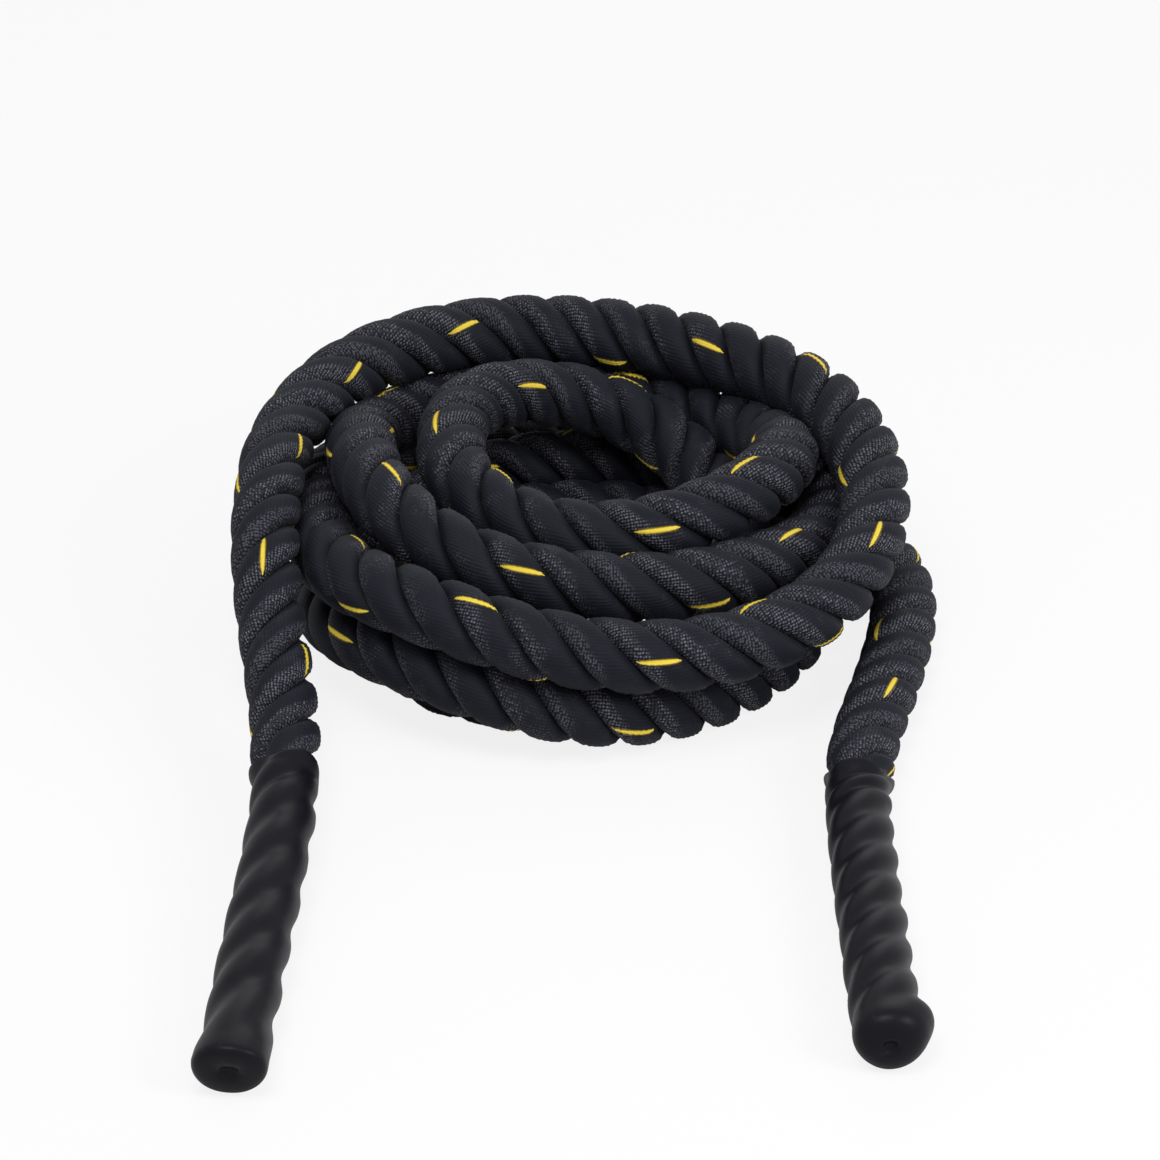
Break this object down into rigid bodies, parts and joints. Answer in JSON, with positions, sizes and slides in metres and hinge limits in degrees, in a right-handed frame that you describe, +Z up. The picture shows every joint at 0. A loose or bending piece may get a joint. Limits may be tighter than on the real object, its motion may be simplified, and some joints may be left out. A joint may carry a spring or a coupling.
{
  "type": "battle rope",
  "caption": "Thick three-strand exercise rope in black with yellow flecks, laid in a pile of loops, with a closed grip sleeve shrunk over each end.",
  "frame": {"origin": "middle of the whole rope's footprint on the floor, at floor level", "axes": "+Z up from the floor, -Y towards the two sleeved ends, which lie side by side, +X to the right as the ends point at the viewer"},
  "size_m": [0.4054, 0.68, 0.1259],
  "materials": {
    "rope_yarn": "matt black polyester yarn with a yellow tracer yarn",
    "sleeve_shrink": "satin black heat-shrink tube",
    "end_tape": "dark cloth tape"
  },
  "bodies": {
    "root": {"rope_coil": "rope_yarn", "rope_end_left": "rope_yarn", "rope_end_right": "rope_yarn", "handle_sleeve_left": "sleeve_shrink", "handle_sleeve_right": "sleeve_shrink", "end_tape_left": "end_tape", "end_tape_right": "end_tape"}
  },
  "joints": []
}
